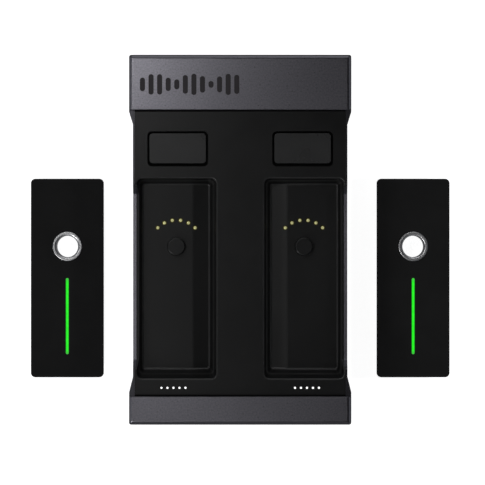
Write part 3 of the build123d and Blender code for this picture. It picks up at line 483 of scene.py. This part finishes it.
def make_floor():
    """A pale floor that glows a little, to stay near white. In gloss it is dim, and dimmer to the right."""
    bpy.ops.mesh.primitive_plane_add(size=FLOOR_SIZE, location=(0, 0, cad_low.z - FLOOR_GAP))
    floor = bpy.context.object
    floor.name = "floor"
    s = Surface("floor_paper", Roughness=0.9, Specular_IOR_Level=0.1)
    fibre = s.noise(2 * MM, 3.0)
    s.link(s.mix(fibre, rgb(0.78), rgb(0.8)), "Base Color")
    s.shader.inputs["Emission Color"].default_value = rgb(1.0)
    s.shader.inputs["Emission Strength"].default_value = FLOOR_GLOW
    glow = s.spread(s.axis("X"), *FLOOR_IN_GLOSS, *FLOOR_FADE)
    mirrored = s.node("Emission", [("Strength", glow)])
    ray = s.node("LightPath").outputs["Is Glossy Ray"]
    both = s.node("MixShader", [(0, ray), (1, s.shader.outputs[0]), (2, mirrored.outputs[0])])
    s.tree.links.new(both.outputs[0], s.tree.nodes["Material Output"].inputs["Surface"])
    floor.data.materials.append(s.material)


def make_world():
    """White to the eye. As a light it is pale low down and nearly dark overhead, where the softboxes are."""
    world = bpy.data.worlds.new("studio")
    bpy.context.scene.world = world
    world.use_nodes = True
    tree = world.node_tree
    dim = tree.nodes["Background"]
    dim.inputs["Color"].default_value = rgb(0.9, 0.95, 1.0)
    way = tree.nodes.new("ShaderNodeSeparateXYZ")
    tree.links.new(tree.nodes.new("ShaderNodeTexCoord").outputs["Generated"], way.inputs[0])
    fall = tree.nodes.new("ShaderNodeMapRange")
    fall.interpolation_type = "SMOOTHSTEP"
    tree.links.new(way.outputs["Z"], fall.inputs["Value"])
    fall.inputs["From Min"].default_value, fall.inputs["From Max"].default_value = WORLD_FADE
    fall.inputs["To Min"].default_value = HORIZON
    fall.inputs["To Max"].default_value = AMBIENT
    tree.links.new(fall.outputs["Result"], dim.inputs["Strength"])
    pale = tree.nodes.new("ShaderNodeBackground")
    pale.inputs["Color"].default_value = rgb(1.0)
    pale.inputs["Strength"].default_value = BACKDROP
    seen = tree.nodes.new("ShaderNodeLightPath")
    both = tree.nodes.new("ShaderNodeMixShader")
    tree.links.new(seen.outputs["Is Camera Ray"], both.inputs["Fac"])
    tree.links.new(dim.outputs[0], both.inputs[1])
    tree.links.new(pale.outputs[0], both.inputs[2])
    tree.links.new(both.outputs[0], tree.nodes["World Output"].inputs["Surface"])


def lamp_at(name, data, centre, target=None):
    """Puts a light at centre, facing its target or else straight down."""
    lamp = bpy.data.objects.new(name, data)
    lamp.location = centre
    if target is not None:
        lamp.rotation_euler = (target - Vector(centre)).to_track_quat("-Z", "Y").to_euler()
    bpy.context.scene.collection.objects.link(lamp)
    return lamp


def softbox(name, centre, size, radiance, target=None):
    """A rectangular light of an even radiance that the camera doesn't see."""
    data = bpy.data.lights.new(name, "AREA")
    data.shape = "RECTANGLE"
    data.size, data.size_y = size
    data.energy = radiance * math.pi * size[0] * size[1]
    lamp_at(name, data, centre, target).visible_camera = False


def ring_box(name, azimuth, elevation, height, radiance):
    """A wide softbox on a ring round the set, aimed at its middle."""
    turn, rise = math.radians(azimuth), math.radians(elevation)
    out = Vector((math.cos(rise) * math.cos(turn), math.cos(rise) * math.sin(turn), math.sin(rise)))
    place = RING_BOX_AIM + out * RING_RADIUS
    softbox(name, place, (RING_BOX_WIDTH, height), radiance, RING_BOX_AIM)


def matt_spot(name, centre, target, width, power):
    """A soft-edged spotlight that lifts matt surfaces only and makes no glint. width is in degrees."""
    data = bpy.data.lights.new(name, "SPOT")
    data.energy = power
    data.spot_size = math.radians(width)
    data.spot_blend = 0.4
    data.shadow_soft_size = 0.03
    lamp_at(name, data, centre, target).visible_glossy = False


make_floor()
make_world()
for name, place, size, radiance in OVERHEAD_BOXES:
    softbox(name, (*place, OVERHEAD), size, radiance)
for ring_row in RING_BOXES:
    ring_box(*ring_row)
for word, radiance in RING_CARDS:
    ring = middle_of(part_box(f"{word}_spindle_ring"))
    softbox(f"{word}_ring_card", (ring.x, ring.y, OVERHEAD), RING_CARD_SIZE, radiance)
matt_spot(
    "right_unit_spot", (0.36, -0.01, 0.36), middle_of(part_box("right_unit_cover")), width=22, power=2.0,
)


# ---- Camera ----

VIEW_WIDTH = 0.17                   # shown across the picture, at the height of the receiver's face
CAMERA_HEIGHT = 2.0                 # over the face
CAMERA_ASIDE = Vector((0.81 * MM, -0.96 * MM, 0))   # from over the set's middle
SENSOR = 36.0


def make_camera():
    """Looks straight down on the set from far above, a little to one side of its middle."""
    data = bpy.data.cameras.new("camera")
    data.sensor_width = SENSOR
    data.lens = SENSOR * CAMERA_HEIGHT / VIEW_WIDTH
    data.clip_end = 50.0
    camera = bpy.data.objects.new("camera", data)
    camera.location = middle_of((cad_low, cad_high)) + CAMERA_ASIDE
    camera.location.z = FACE_Z + CAMERA_HEIGHT
    bpy.context.scene.collection.objects.link(camera)
    bpy.context.scene.camera = camera


make_camera()
bpy.context.scene.view_settings.view_transform = "Standard"
